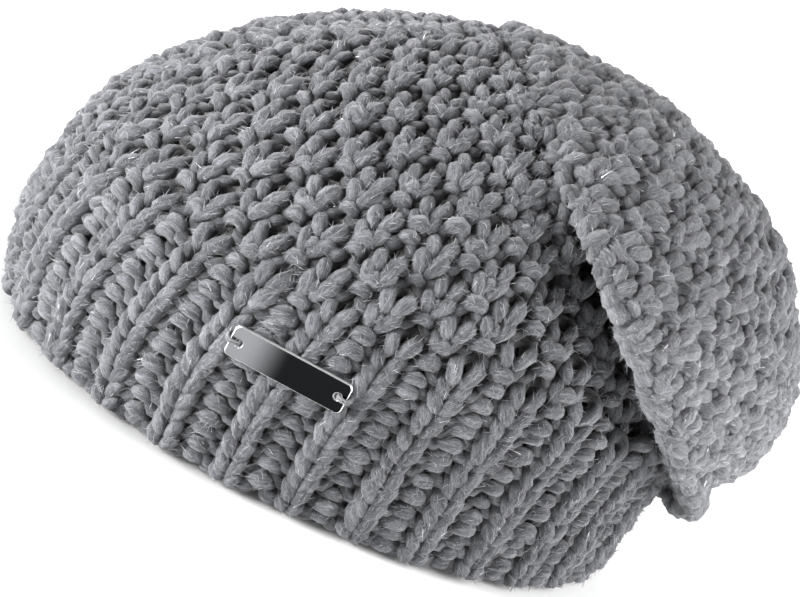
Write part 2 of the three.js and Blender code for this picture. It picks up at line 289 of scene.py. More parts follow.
class Lattice:
    """Places every stitch on a surface: levels count courses, and sectors count wales."""

    LEVEL_STEP = 0.5
    WALE_STEP = 0.25
    ANGLES = 360

    def __init__(self, surface: Surface, first_row: float, last_row: float) -> None:
        """Samples the surface on a fine grid of rows and angles."""
        self.surface = surface
        self.fine_rows = np.linspace(first_row, last_row, 260)
        self.fine_angles = np.linspace(0, 2 * math.pi, self.ANGLES + 1)
        self.grid = surface.points(self.fine_rows[:, None], self.fine_angles[None, :])
        along = np.gradient(self.grid[:, :-1], axis=1)
        along = (np.roll(self.grid[:, :-1], -1, axis=1) - np.roll(self.grid[:, :-1], 1, axis=1)) / 2
        along = np.concatenate([along, along[:, :1]], axis=1)
        up = np.gradient(self.grid, axis=0)
        normal = np.cross(up, along)
        length = np.linalg.norm(normal, axis=-1, keepdims=True)
        self.grid_normals = normal / np.maximum(length, 1e-9)
        steps = np.linalg.norm(np.diff(self.grid, axis=0), axis=-1)
        self.arc = np.concatenate([np.zeros((1, steps.shape[1])), np.cumsum(steps, axis=0)])
        self.sectors: list[Sector] = []

    def lay_levels(self, level_grid: np.ndarray, lowest: float, highest: float) -> None:
        """Finds the surface's points and normals at even levels.

        Args:
            level_grid: the level at each point of the fine grid, growing with the row.
            lowest: the first level.
            highest: the last level.
        """
        self.levels = np.arange(lowest, highest + 1e-6, self.LEVEL_STEP)
        shape = (len(self.levels), self.ANGLES + 1)
        self.points = np.empty(shape + (3,))
        self.normals = np.empty(shape + (3,))
        self.rows = np.empty(shape)
        self.missing = np.empty(shape, bool)
        for a in range(self.ANGLES + 1):
            column = level_grid[:, a]
            self.rows[:, a] = np.interp(self.levels, column, self.fine_rows)
            self.missing[:, a] = (self.levels < column[0] - 1e-6) | (self.levels > column[-1] + 1e-6)
            for axis in range(3):
                self.points[:, a, axis] = np.interp(self.levels, column, self.grid[:, a, axis])
                self.normals[:, a, axis] = np.interp(self.levels, column, self.grid_normals[:, a, axis])

    def add_sector(self, sector: Sector, scale: np.ndarray, base_level: float | None) -> None:
        """Lays the wales of one sector at every level.

        Args:
            sector: the sector, with its wale edges as distances from the anchor, or as angles if
                base_level is given.
            scale: how much narrower or wider the wales are at each level.
            base_level: the level up to which the wales keep their angles, or None.
        """
        angles = np.linspace(sector.anchor, sector.dart, 241)
        where = (np.degrees(angles) % 360) / 360 * self.ANGLES
        lower = np.floor(where).astype(int)
        part = (where - lower)[None, :, None]
        line = self.points[:, lower] * (1 - part) + self.points[:, lower + 1] * part
        steps = np.linalg.norm(np.diff(line, axis=1), axis=-1)
        reach = np.concatenate([np.zeros((len(self.levels), 1)), np.cumsum(steps, axis=1)], axis=1)
        count = len(sector.edges) - 1
        wanted = np.arange(0, count + 1e-6, self.WALE_STEP)
        table = np.empty((len(self.levels), len(wanted)))
        sector.reach = np.empty(len(self.levels))
        edges = sector.edges
        if base_level is not None:
            base = int(round((base_level - self.levels[0]) / self.LEVEL_STEP))
            order = np.argsort(angles)
            edges = np.interp(sector.edges, angles[order], reach[base][order])
        fine_edges = np.interp(wanted, np.arange(count + 1), edges)
        for i, level in enumerate(self.levels):
            if base_level is not None and level <= base_level:
                fine_angles = np.interp(wanted, np.arange(count + 1), sector.edges)
                table[i] = fine_angles
                sector.reach[i] = count
                continue
            total = reach[i, -1]
            grown = scale[i]
            if base_level is not None:
                grown = max(grown, total / reach[base, -1])
            distance = np.minimum(fine_edges * grown, total)
            table[i] = np.interp(distance, reach[i], angles)
            sector.reach[i] = np.interp(total / grown, edges, np.arange(count + 1))
        sector.angle_table = table
        self.sectors.append(sector)

    def place(self, sector: Sector, wale: np.ndarray, level: np.ndarray) -> tuple[np.ndarray, ...]:
        """Returns the points, the outward normals and the rows at places of the grid of stitches."""
        deep = np.clip((level - self.levels[0]) / self.LEVEL_STEP, 0, len(self.levels) - 1.001)
        wide = np.clip(wale / self.WALE_STEP, 0, sector.angle_table.shape[1] - 1.001)
        angle = bilinear(sector.angle_table, deep, wide)
        turn = (np.degrees(angle) % 360) / 360 * self.ANGLES
        points = bilinear(self.points, deep, turn)
        normals = bilinear(self.normals, deep, turn)
        normals = normals / np.linalg.norm(normals, axis=-1, keepdims=True)
        return points, normals, bilinear(self.rows, deep, turn), bilinear(self.missing * 1.0, deep, turn)


def bilinear(table: np.ndarray, down: np.ndarray, across: np.ndarray) -> np.ndarray:
    """Reads a table at places between its entries."""
    i, j = np.floor(down).astype(int), np.floor(across).astype(int)
    i, j = np.minimum(i, table.shape[0] - 2), np.minimum(j, table.shape[1] - 2)
    a, b = down - i, across - j
    if table.ndim == 3:
        a, b = a[..., None], b[..., None]
    low = table[i, j] * (1 - b) + table[i, j + 1] * b
    high = table[i + 1, j] * (1 - b) + table[i + 1, j + 1] * b
    return low * (1 - a) + high * a


class Stitch(Enum):
    """The two stitches: a knit stitch shows a V, and a purl stitch shows its bumps."""

    KNIT = 1.0
    PURL = -1.0


class Pattern(Enum):
    """How knit and purl stitches are laid out."""

    RIB = "one by one rib"
    MOSS = "double moss stitch"

    def stitch(self, label: int, course: int) -> Stitch:
        """Returns the stitch of a wale in a course."""
        shift = 0 if self is Pattern.RIB else course // 2
        return Stitch.KNIT if (label + shift) % 2 == 0 else Stitch.PURL


@dataclass
class YarnPaths:
    """Centre lines of yarn with what each of their points carries."""

    points: list[np.ndarray] = field(default_factory=list)
    closed: list[bool] = field(default_factory=list)
    numbers: dict[str, list[np.ndarray]] = field(default_factory=dict)
    outward: list[np.ndarray] = field(default_factory=list)

    def add(self, run: dict[str, np.ndarray], closed: bool) -> None:
        """Adds one centre line with its points, outward directions and numbers by name."""
        self.points.append(run["points"])
        self.outward.append(run["outward"])
        self.closed.append(closed)
        for name in ("yarn_radius", "shade", "lift"):
            self.numbers.setdefault(name, []).append(run[name])

    def mesh(self, name: str) -> bpy.types.Mesh:
        """Returns the centre lines as a mesh of edges in metres, with radius and shade stored."""
        edges, start = [], 0
        for points, closed in zip(self.points, self.closed):
            count = len(points)
            index = np.arange(start, start + count)
            pairs = np.stack([index[:-1], index[1:]], axis=1)
            if closed:
                pairs = np.vstack([pairs, [index[-1], index[0]]])
            edges.append(pairs)
            start += count
        places = (np.concatenate(self.points) + FRAME_SHIFT) * MM
        mesh = bpy.data.meshes.new(name)
        mesh.from_pydata(places.tolist(), np.concatenate(edges).tolist(), [])
        for attribute_name, values in self.numbers.items():
            attribute = mesh.attributes.new(attribute_name, "FLOAT", "POINT")
            unit = 1.0 if attribute_name == "shade" else MM
            attribute.data.foreach_set("value", np.concatenate(values) * unit)
        outward = mesh.attributes.new("outward", "FLOAT_VECTOR", "POINT")
        outward.data.foreach_set("vector", np.concatenate(self.outward).reshape(-1))
        return mesh


@dataclass(frozen=True)
class Loop:
    """The form of one yarn loop, in millimetres and in parts of a stitch."""

    radius: float = 2.2
    swing: float = 0.23
    purl_swing: float = 0.1
    rise: float = 1.9
    depth: float = 2.05
    plump: float = 0.12
    slub: float = 0.07
    samples: int = 16


@dataclass
class Knitter:
    """Lays the yarn of one piece of knitting, course by course."""

    lattice: Lattice
    pattern: Pattern
    loop: Loop
    seed: int

    def course(self, number: int, keep: "KeepRule", shift: float = 0.0) -> list[tuple[dict[str, np.ndarray], bool]]:
        """Lays one course.

        Args:
            number: the course, counted from the first moss course.
            keep: says which stitches are knitted.
            shift: how far the course lies above its place, in courses.

        Returns:
            Runs of yarn as arrays by name, and whether each run is closed.
        """
        level = number + 0.5 + shift
        lattice = self.lattice
        rng = np.random.default_rng(self.seed + 977 * (number + 40))
        cells: list[tuple[int, int, float, int, int]] = []
        for index, sector in enumerate(lattice.sectors):
            reach = float(np.interp(level, lattice.levels, sector.reach))
            live = max(int(round(reach)), 1)
            order = range(live) if sector.forward else range(live - 1, -1, -1)
            for k in order:
                label = sector.label + sector.label_step * k
                cells.append((index, k, reach, live, label))
        count, samples = len(cells), self.loop.samples
        sector_of = np.array([c[0] for c in cells])
        wale = np.array([c[1] for c in cells], float)
        reach = np.array([c[2] for c in cells])
        live = np.array([c[3] for c in cells], float)
        signs = np.array([self.pattern.stitch(c[4], number).value for c in cells])
        forward = np.array([lattice.sectors[i].forward for i in sector_of])

        jitter = rng.normal(0, 1, (count, 5))
        phase = np.arange(samples) / samples * 2 * math.pi
        running = np.arange(count)[:, None] + phase[None, :] / (2 * math.pi)
        back = np.floor(running - 0.5).astype(int)
        blend = smooth_step(((running - 0.5) - back - 0.2) / 0.6)

        def spread(values: np.ndarray) -> np.ndarray:
            return values[back % count] * (1 - blend) + values[(back + 1) % count] * blend

        sign = spread(signs)
        widths = np.where(signs > 0, self.loop.swing, self.loop.purl_swing)
        swing = spread(widths) * (1 + 0.1 * spread(jitter[:, 0]))
        x = phase[None, :] / (2 * math.pi) + swing * np.sin(2 * phase)[None, :]
        y = -self.loop.rise / 2 * np.cos(phase)[None, :] * (1 + 0.06 * spread(jitter[:, 1]))
        y = y + 0.09 * spread(jitter[:, 2])
        z = -sign * self.loop.depth * np.cos(2 * phase)[None, :] + 0.35 * spread(jitter[:, 3])
        lift = z
        plump = 1 + self.loop.plump * np.clip(np.abs(z) / self.loop.depth * 2 - 1, -1, 1)
        lumps = rng.normal(0, 1, (count, samples))
        lumps = (np.roll(lumps.reshape(-1), 1) + lumps.reshape(-1) * 2 + np.roll(lumps.reshape(-1), -1)) / 4
        slubs = 1 + self.loop.slub * lumps.reshape(count, samples)
        radius = self.loop.radius * plump * slubs * (1 + 0.07 * spread(jitter[:, 4]))

        u = np.where(forward[:, None], wale[:, None] + x, wale[:, None] + 1 - x)
        edge = smooth_step((u - (live[:, None] - 4)) / 4)
        u = u + (reach - live)[:, None] * edge
        levels = level + y
        steps = np.where(forward, 1, -1) * np.array([lattice.sectors[i].label_step for i in sector_of])
        labels = np.array([c[4] for c in cells])[:, None] + (x - 0.5) * steps[:, None]
        u = u + keep.squeeze(labels, levels) * np.array(
            [lattice.sectors[i].label_step for i in sector_of]
        )[:, None]
        points = np.empty((count, samples, 3))
        normals = np.empty((count, samples, 3))
        rows = np.empty((count, samples))
        missing = np.empty((count, samples))
        for index, sector in enumerate(lattice.sectors):
            mask = sector_of == index
            if mask.any():
                placed = lattice.place(sector, u[mask], keep.hold(levels[mask]))
                points[mask], normals[mask], rows[mask], missing[mask] = placed
        relief = keep.relief(labels, levels)
        points = points + normals * (z - WALL / 2 + relief)[..., None]
        middle = (points + normals * (WALL / 2 - z)[..., None]).mean(axis=1)
        at_row, gone = rows.mean(axis=1), missing.max(axis=1)
        live_mask, dent, tone = keep.stitches(middle, normals[:, 0], at_row, gone)
        shade = spread(rng.uniform(0, 1, count) + tone)
        points = points - normals * spread(dent)[..., None]
        values = {
            "points": points,
            "outward": normals,
            "yarn_radius": radius,
            "shade": shade,
            "lift": lift,
        }
        return split_runs(values, live_mask)


def split_runs(
    values: dict[str, np.ndarray], live: np.ndarray
) -> list[tuple[dict[str, np.ndarray], bool]]:
    """Cuts a course into the runs of stitches that are knitted.

    Args:
        values: arrays by name, each by stitch and sample.
        live: which stitches are knitted.

    Returns:
        The arrays of each run, and whether the run is closed.
    """

    def joined(stitches: list[int]) -> dict[str, np.ndarray]:
        picked = {name: array[stitches] for name, array in values.items()}
        return {name: a.reshape((-1,) + a.shape[2:]) for name, a in picked.items()}

    count = len(live)
    if live.all():
        return [(joined(list(range(count))), True)]
    if not live.any():
        return []
    first = next(i for i in range(count) if live[i] and not live[i - 1])
    runs: list[list[int]] = []
    current: list[int] = []
    for i in [(first + i) % count for i in range(count)]:
        if live[i]:
            current.append(i)
        elif current:
            runs.append(current)
            current = []
    if current:
        runs.append(current)
    return [(joined(run), False) for run in runs]


@dataclass
class KeepRule:
    """Says which stitches of a piece are knitted, and how the cloth lies in relief."""

    other: BVHTree | None = None
    hidden_depth: float = 4.0
    always_below_row: float = -1.0
    lowest_level: float = -1e9
    rib_depth: float = 0.0
    rib_narrowing: float = 0.07
    dent: float = 0.0
    dent_reach: float = 24.0
    fold_top: float = 118.0
    tone_shift: float = 0.0

    def hold(self, levels: np.ndarray) -> np.ndarray:
        """Keeps the yarn above the edge that the hat stands on, with a soft stop."""
        if self.lowest_level < -1e8:
            return levels
        over = levels - self.lowest_level
        return self.lowest_level + np.where(over > 0.6, over, 0.6 * np.exp(np.minimum(over - 0.6, 0) / 0.6))

    def squeeze(self, labels: np.ndarray, levels: np.ndarray) -> np.ndarray:
        """Returns how far a place moves towards the nearest knit wale, in wales."""
        if self.rib_depth == 0:
            return np.zeros_like(labels)
        return -self.rib_narrowing * np.sin(math.pi * labels) * smooth_step((1 - levels) / 2)

    def relief(self, labels: np.ndarray, levels: np.ndarray) -> np.ndarray:
        """Returns how far the cloth lies in front of the mean surface."""
        if self.rib_depth == 0:
            return np.zeros_like(labels)
        fade = smooth_step(-levels / 2.0)
        return -self.rib_depth / 2 * (1 - np.cos(math.pi * labels)) * fade

    def stitches(
        self, points: np.ndarray, normals: np.ndarray, rows: np.ndarray, missing: np.ndarray
    ) -> tuple[np.ndarray, np.ndarray, np.ndarray]:
        """Says which stitches are knitted, leaving out those deep inside the other cloth.

        Args:
            points: the middle of each stitch on the outer surface.
            normals: the outward direction there.
            rows: the row of the surface there.
            missing: more than a half where the surface doesn't reach.

        Returns:
            Whether each stitch is knitted, how far it is pressed in by the fold beside it, and
            how much its tone is shifted towards the cloth that it runs into.
        """
        live = missing < 0.5
        dent = np.zeros(len(points))
        tone = np.zeros(len(points))
        if self.other is not None:
            depths, cosines = depth_inside(self.other, points, normals)
            allowed = np.clip(0.8 + 9.0 * (1 - cosines), 0.8, self.hidden_depth)
            live &= (depths <= allowed) | (rows < self.always_below_row)
            near = smooth_step(1 + depths / self.dent_reach)
            folded = smooth_step((self.fold_top - points[:, 2]) / 22)
            dent = self.dent * near * folded * np.clip((1 - cosines) * 4, 0, 1)
            # Painted light fades out here: the slouch's lighter yarn is darkened where it runs into the body near
            # the top
            running_on = smooth_step((points[:, 2] - 88) / 26)
            tone = self.tone_shift * smooth_step(1 + depths / 45) * running_on
        return live, dent, tone


# Finishes

def yarn_tree() -> bpy.types.NodeTree:
    """Builds the node tree that turns centre lines into yarn with the lay of its fibres.

    Returns:
        A tree with the inputs Sides, Twist and Finish.
    """
    tree = bpy.data.node_groups.new("Spun yarn", "GeometryNodeTree")
    face = tree.interface
    face.new_socket("Geometry", in_out="INPUT", socket_type="NodeSocketGeometry")
    face.new_socket("Sides", in_out="INPUT", socket_type="NodeSocketInt")
    face.new_socket("Twist", in_out="INPUT", socket_type="NodeSocketFloat")
    face.new_socket("Finish", in_out="INPUT", socket_type="NodeSocketMaterial")
    face.new_socket("Geometry", in_out="OUTPUT", socket_type="NodeSocketGeometry")
    start = add_node(tree, "NodeGroupInput")
    curve = add_node(tree, "GeometryNodeMeshToCurve", inputs={"Mesh": start.outputs["Geometry"]})
    travelled = add_node(tree, "GeometryNodeSplineParameter")
    along = add_node(
        tree,
        "GeometryNodeStoreNamedAttribute",
        {"data_type": "FLOAT", "domain": "POINT"},
        {"Geometry": curve.outputs["Curve"], "Name": "along", "Value": travelled.outputs["Length"]},
    )
    radius = add_node(
        tree, "GeometryNodeInputNamedAttribute", {"data_type": "FLOAT"}, {"Name": "yarn_radius"}
    )
    circle = add_node(
        tree,
        "GeometryNodeCurvePrimitiveCircle",
        {"mode": "RADIUS"},
        {"Resolution": start.outputs["Sides"], "Radius": 1.0},
    )
    place = add_node(tree, "GeometryNodeInputPosition")
    ring = add_node(
        tree,
        "GeometryNodeStoreNamedAttribute",
        {"data_type": "FLOAT_VECTOR", "domain": "POINT"},
        {"Geometry": circle.outputs["Curve"], "Name": "ring", "Value": place.outputs["Position"]},
    )
    heading = add_node(tree, "GeometryNodeInputTangent")
    directed = add_node(
        tree,
        "GeometryNodeStoreNamedAttribute",
        {"data_type": "FLOAT_VECTOR", "domain": "POINT"},
        {"Geometry": along.outputs["Geometry"], "Name": "heading", "Value": heading.outputs["Tangent"]},
    )
    tube = add_node(
        tree,
        "GeometryNodeCurveToMesh",
        inputs={
            "Curve": directed.outputs["Geometry"],
            "Profile Curve": ring.outputs["Geometry"],
            "Scale": radius.outputs["Attribute"],
            "Fill Caps": True,
        },
    )
    read_ring = add_node(
        tree, "GeometryNodeInputNamedAttribute", {"data_type": "FLOAT_VECTOR"}, {"Name": "ring"}
    )
    read_along = add_node(
        tree, "GeometryNodeInputNamedAttribute", {"data_type": "FLOAT"}, {"Name": "along"}
    )
    angle = add_node(
        tree,
        "ShaderNodeMath",
        {"operation": "MULTIPLY"},
        {0: read_along.outputs["Attribute"], 1: start.outputs["Twist"]},
    )
    turned = add_node(
        tree,
        "ShaderNodeVectorRotate",
        {"rotation_type": "Z_AXIS"},
        {"Vector": read_ring.outputs["Attribute"], "Angle": angle.outputs[0]},
    )
    sized = add_node(
        tree,
        "ShaderNodeVectorMath",
        {"operation": "SCALE"},
        {0: turned.outputs["Vector"], "Scale": radius.outputs["Attribute"]},
    )
    parts = add_node(tree, "ShaderNodeSeparateXYZ", inputs={"Vector": sized.outputs["Vector"]})
    fibre_place = add_node(
        tree,
        "ShaderNodeCombineXYZ",
        inputs={"X": parts.outputs["X"], "Y": parts.outputs["Y"], "Z": read_along.outputs["Attribute"]},
    )
    fibre = add_node(
        tree,
        "GeometryNodeStoreNamedAttribute",
        {"data_type": "FLOAT_VECTOR", "domain": "POINT"},
        {"Geometry": tube.outputs["Mesh"], "Name": "fibre", "Value": fibre_place.outputs["Vector"]},
    )
    # How far the yarn's skin lies from the middle of the cloth, on either face of it; the yarn's painted shade is
    # set by it
    outward = add_node(
        tree, "GeometryNodeInputNamedAttribute", {"data_type": "FLOAT_VECTOR"}, {"Name": "outward"}
    )
    lift = add_node(tree, "GeometryNodeInputNamedAttribute", {"data_type": "FLOAT"}, {"Name": "lift"})
    skin = add_node(tree, "GeometryNodeInputNormal")
    facing = add_node(
        tree,
        "ShaderNodeVectorMath",
        {"operation": "DOT_PRODUCT"},
        {0: skin.outputs["Normal"], 1: outward.outputs["Attribute"]},
    )
    height = add_node(
        tree,
        "ShaderNodeMath",
        {"operation": "MULTIPLY_ADD"},
        {0: facing.outputs["Value"], 1: radius.outputs["Attribute"], 2: lift.outputs["Attribute"]},
    )
    shown = add_node(
        tree,
        "GeometryNodeStoreNamedAttribute",
        {"data_type": "FLOAT", "domain": "POINT"},
        {"Geometry": fibre.outputs["Geometry"], "Name": "height", "Value": height.outputs[0]},
    )
    smooth = add_node(
        tree,
        "GeometryNodeSetShadeSmooth",
        inputs={"Geometry": shown.outputs["Geometry"], "Shade Smooth": True},
    )
    real = add_node(
        tree, "GeometryNodeRealizeInstances", inputs={"Geometry": smooth.outputs["Geometry"]}
    )
    finish = add_node(
        tree,
        "GeometryNodeSetMaterial",
        inputs={"Geometry": real.outputs["Geometry"], "Material": start.outputs["Finish"]},
    )
    add_node(tree, "NodeGroupOutput", inputs={"Geometry": finish.outputs["Geometry"]})
    return tree


def set_inputs(modifier: bpy.types.NodesModifier, values: dict[str, object]) -> None:
    """Sets a node modifier's inputs by their names, through the sockets' identifiers."""
    for item in modifier.node_group.interface.items_tree:
        if item.item_type == "SOCKET" and item.in_out == "INPUT" and item.name in values:
            modifier[item.identifier] = values[item.name]


def evaluated_copy(source: bpy.types.Object, name: str) -> bpy.types.Object:
    """Turns an object with node modifiers into a plain mesh object and removes the source."""
    graph = bpy.context.evaluated_depsgraph_get()
    mesh = bpy.data.meshes.new_from_object(source.evaluated_get(graph), depsgraph=graph)
    mesh.name = name
    old = source.data
    bpy.data.objects.remove(source)
    bpy.data.meshes.remove(old)
    result = bpy.data.objects.new(name, mesh)
    bpy.context.collection.objects.link(result)
    return result


def fibre_tree() -> bpy.types.NodeTree:
    """Builds the node tree that scatters loose fibres over the outer side of the yarn.

    Returns:
        A tree with the inputs Fibre, Density, Seed, Stray, Longest and Finish.
    """
    tree = bpy.data.node_groups.new("Loose fibres", "GeometryNodeTree")
    face = tree.interface
    face.new_socket("Geometry", in_out="INPUT", socket_type="NodeSocketGeometry")
    face.new_socket("Fibre", in_out="INPUT", socket_type="NodeSocketObject")
    face.new_socket("Density", in_out="INPUT", socket_type="NodeSocketFloat")
    face.new_socket("Seed", in_out="INPUT", socket_type="NodeSocketInt")
    face.new_socket("Stray", in_out="INPUT", socket_type="NodeSocketFloat")
    face.new_socket("Shortest", in_out="INPUT", socket_type="NodeSocketFloat")
    face.new_socket("Finish", in_out="INPUT", socket_type="NodeSocketMaterial")
    face.new_socket("Geometry", in_out="OUTPUT", socket_type="NodeSocketGeometry")
    start = add_node(tree, "NodeGroupInput")
    skin = add_node(tree, "GeometryNodeInputNormal")
    outward = add_node(
        tree, "GeometryNodeInputNamedAttribute", {"data_type": "FLOAT_VECTOR"}, {"Name": "outward"}
    )
    facing = add_node(
        tree,
        "ShaderNodeVectorMath",
        {"operation": "DOT_PRODUCT"},
        {0: skin.outputs["Normal"], 1: outward.outputs["Attribute"]},
    )
    height = add_node(
        tree, "GeometryNodeInputNamedAttribute", {"data_type": "FLOAT"}, {"Name": "height"}
    )
    outer = add_node(
        tree,
        "FunctionNodeCompare",
        {"data_type": "FLOAT", "operation": "GREATER_THAN"},
        {0: height.outputs["Attribute"], 1: 0.0026},
    )
    turned_out = add_node(
        tree,
        "FunctionNodeCompare",
        {"data_type": "FLOAT", "operation": "GREATER_THAN"},
        {0: facing.outputs["Value"], 1: 0.0},
    )
    both = add_node(
        tree,
        "FunctionNodeBooleanMath",
        {"operation": "AND"},
        {0: outer.outputs["Result"], 1: turned_out.outputs["Result"]},
    )
    points = add_node(
        tree,
        "GeometryNodeDistributePointsOnFaces",
        {"distribute_method": "RANDOM"},
        {
            "Mesh": start.outputs["Geometry"],
            "Selection": both.outputs["Boolean"],
            "Density": start.outputs["Density"],
            "Seed": start.outputs["Seed"],
        },
    )
    heading = add_node(
        tree, "GeometryNodeInputNamedAttribute", {"data_type": "FLOAT_VECTOR"}, {"Name": "heading"}
    )
    laid = add_node(
        tree,
        "FunctionNodeAlignRotationToVector",
        {"axis": "X", "pivot_axis": "Z"},
        {"Rotation": points.outputs["Rotation"], "Vector": heading.outputs["Attribute"]},
    )
    stray = start.outputs["Stray"]
    low = add_node(tree, "ShaderNodeMath", {"operation": "MULTIPLY"}, {0: stray, 1: -1.0})
    lowest = add_node(
        tree, "ShaderNodeCombineXYZ", inputs={"X": -0.4, "Y": -0.45, "Z": low.outputs[0]}
    )
    highest = add_node(tree, "ShaderNodeCombineXYZ", inputs={"X": 0.4, "Y": 0.15, "Z": stray})
    turn = add_node(
        tree,
        "FunctionNodeRandomValue",
        {"data_type": "FLOAT_VECTOR"},
        {0: lowest.outputs["Vector"], 1: highest.outputs["Vector"], "Seed": start.outputs["Seed"]},
    )
    by = add_node(tree, "FunctionNodeEulerToRotation", inputs={"Euler": turn.outputs["Value"]})
    rotation = add_node(
        tree,
        "FunctionNodeRotateRotation",
        {"rotation_space": "LOCAL"},
        {"Rotation": laid.outputs["Rotation"], "Rotate By": by.outputs["Rotation"]},
    )
    fibre = add_node(tree, "GeometryNodeObjectInfo", inputs={"Object": start.outputs["Fibre"]})
    second_seed = add_node(
        tree, "ShaderNodeMath", {"operation": "ADD"}, {0: start.outputs["Seed"], 1: 5.0}
    )
    size = add_node(
        tree,
        "FunctionNodeRandomValue",
        {"data_type": "FLOAT"},
        {2: start.outputs["Shortest"], 3: 1.0, "Seed": second_seed.outputs[0]},
    )
    placed = add_node(
        tree,
        "GeometryNodeInstanceOnPoints",
        inputs={
            "Points": points.outputs["Points"],
            "Instance": fibre.outputs["Geometry"],
            "Rotation": rotation.outputs["Rotation"],
            "Scale": size.outputs[1],
        },
    )
    real = add_node(
        tree, "GeometryNodeRealizeInstances", inputs={"Geometry": placed.outputs["Instances"]}
    )
    finish = add_node(
        tree,
        "GeometryNodeSetMaterial",
        inputs={"Geometry": real.outputs["Geometry"], "Material": start.outputs["Finish"]},
    )
    add_node(tree, "NodeGroupOutput", inputs={"Geometry": finish.outputs["Geometry"]})
    return tree


@dataclass(frozen=True)
class PlateSeat:
    """The place of the tag's plate on the knit, in millimetres from the middle of the brim."""

    middle: np.ndarray
    along: np.ndarray
    up: np.ndarray
    outward: np.ndarray
    half_length: float = 19.3
    half_height: float = 5.55
    clearance: float = 0.1

    def press(self, fibres: np.ndarray) -> None:
        """Lays the fibres that grow under the plate flat behind it.

        Args:
            fibres: the corners of each fibre, its three root corners first, changed in place.
        """
        offsets = fibres - self.middle
        roots = offsets[:, :3].mean(axis=1)
        inside = np.abs(roots @ self.along) < self.half_length
        inside &= np.abs(roots @ self.up) < self.half_height
        excess = np.maximum(offsets @ self.outward + self.clearance, 0.0) * inside[:, None]
        fibres -= excess[..., None] * self.outward


@dataclass
class LooseFibres:
    """Fibres that stand off the yarn: soft grey fluff, or a fine silver filament."""

    name: str
    length: float
    rise: float
    thickness: float
    density: float
    stray: float
    shortest: float
    seed: int
    finish: bpy.types.Material
    tree: bpy.types.NodeTree
    seat: PlateSeat

    def build_fibre(self) -> bpy.types.Object:
        """Returns one fibre: a three-sided spike, closed at its root."""
        points: list[tuple[float, float, float]] = []
        for corner in range(3):
            angle = corner * 2 * math.pi / 3
            y = self.thickness / 2 * math.cos(angle)
            z = self.thickness / 2 * math.sin(angle) - 0.15 * self.rise
            points.append((0.0, y * MM, z * MM))
        points.append((self.length * MM, 0.0, self.rise * MM))
        faces = [(0, 2, 1), (0, 1, 3), (1, 2, 3), (2, 0, 3)]
        mesh = bpy.data.meshes.new(self.name + "_fibre")
        mesh.from_pydata(points, [], faces)
        return bpy.data.objects.new(self.name + "_fibre", mesh)

    def scatter(self, yarn: bpy.types.Object, name: str) -> bpy.types.Object:
        """Scatters the fibres over one piece of yarn.

        Args:
            yarn: the knitted piece.
            name: the new piece's name.

        Returns:
            The fibres as a plain mesh object.
        """
        fibre = self.build_fibre()
        source = bpy.data.objects.new(name + "_source", yarn.data.copy())
        bpy.context.collection.objects.link(source)
        modifier = source.modifiers.new("Loose fibres", "NODES")
        modifier.node_group = self.tree
        values = {
            "Fibre": fibre,
            "Density": self.density,
            "Seed": self.seed,
            "Stray": self.stray,
            "Shortest": self.shortest,
            "Finish": self.finish,
        }
        set_inputs(modifier, values)
        piece = evaluated_copy(source, name)
        places = np.empty(len(piece.data.vertices) * 3)
        piece.data.vertices.foreach_get("co", places)
        fibres = places.reshape(-1, 4, 3) / MM - FRAME_SHIFT
        self.seat.press(fibres)
        fibres[..., 2] = np.maximum(fibres[..., 2], 0.2)
        piece.data.vertices.foreach_set("co", ((fibres + FRAME_SHIFT) * MM).ravel())
        spare = fibre.data
        bpy.data.objects.remove(fibre)
        bpy.data.meshes.remove(spare)
        LOG.info("%s: %d faces", name, len(piece.data.polygons))
        return piece


@dataclass(frozen=True)
class FluffFibre:
    """Loose ends of the roving: pale, matt and half clear, so they blur the yarn's outline."""

    name: str = "Loose roving fibre"
    colour: str = "#8b8c90"

    def material(self) -> bpy.types.Material:
        """Returns the fluff's material."""
        material = bpy.data.materials.new(self.name)
        material.use_nodes = True
        tree = material.node_tree
        tree.nodes.clear()
        place = add_node(tree, "ShaderNodeTexCoord")
        # Fibres differ in shade from one tuft to the next, some 3 mm apart
        tufts = add_node(
            tree,
            "ShaderNodeTexNoise",
            inputs={"Vector": place.outputs["Object"], "Scale": 330.0, "Detail": 2.0},
        )
        tone = add_node(
            tree,
            "ShaderNodeMapRange",
            inputs={"Value": tufts.outputs["Fac"], "To Min": 0.65, "To Max": 1.25},
        )
        toned = add_node(
            tree,
            "ShaderNodeMix",
            {"data_type": "RGBA", "blend_type": "MULTIPLY"},
            {0: 1.0, 6: linear_colour(self.colour), 7: tone.outputs["Result"]},
        )
        shader = add_node(
            tree,
            "ShaderNodeBsdfPrincipled",
            inputs={
                "Base Color": toned.outputs[2],
                "Roughness": 0.8,
                "Specular IOR Level": 0.3,
                "Sheen Weight": 0.4,
            },
        )
        add_node(tree, "ShaderNodeOutputMaterial", inputs={"Surface": shader.outputs["BSDF"]})
        return material


@dataclass(frozen=True)
class SilverFilament:
    """Fine metallised polyester carried along with the yarn: short bright glints."""

    name: str = "Silver filament"
    colour: str = "#eceded"

    def material(self) -> bpy.types.Material:
        """Returns the filament's material."""
        material = bpy.data.materials.new(self.name)
        material.use_nodes = True
        tree = material.node_tree
        tree.nodes.clear()
        place = add_node(tree, "ShaderNodeTexCoord")
        # The filament is flat and twists, so it flashes and fades within a millimetre or two
        twist = add_node(
            tree,
            "ShaderNodeTexNoise",
            inputs={"Vector": place.outputs["Object"], "Scale": 900.0, "Detail": 1.0},
        )
        gloss = add_node(
            tree,
            "ShaderNodeMapRange",
            inputs={"Value": twist.outputs["Fac"], "To Min": 0.15, "To Max": 0.5},
        )
        shader = add_node(
            tree,
            "ShaderNodeBsdfPrincipled",
            inputs={
                "Base Color": linear_colour(self.colour),
                "Metallic": 0.3,
                "Roughness": gloss.outputs["Result"],
            },
        )
        add_node(tree, "ShaderNodeOutputMaterial", inputs={"Surface": shader.outputs["BSDF"]})
        return material


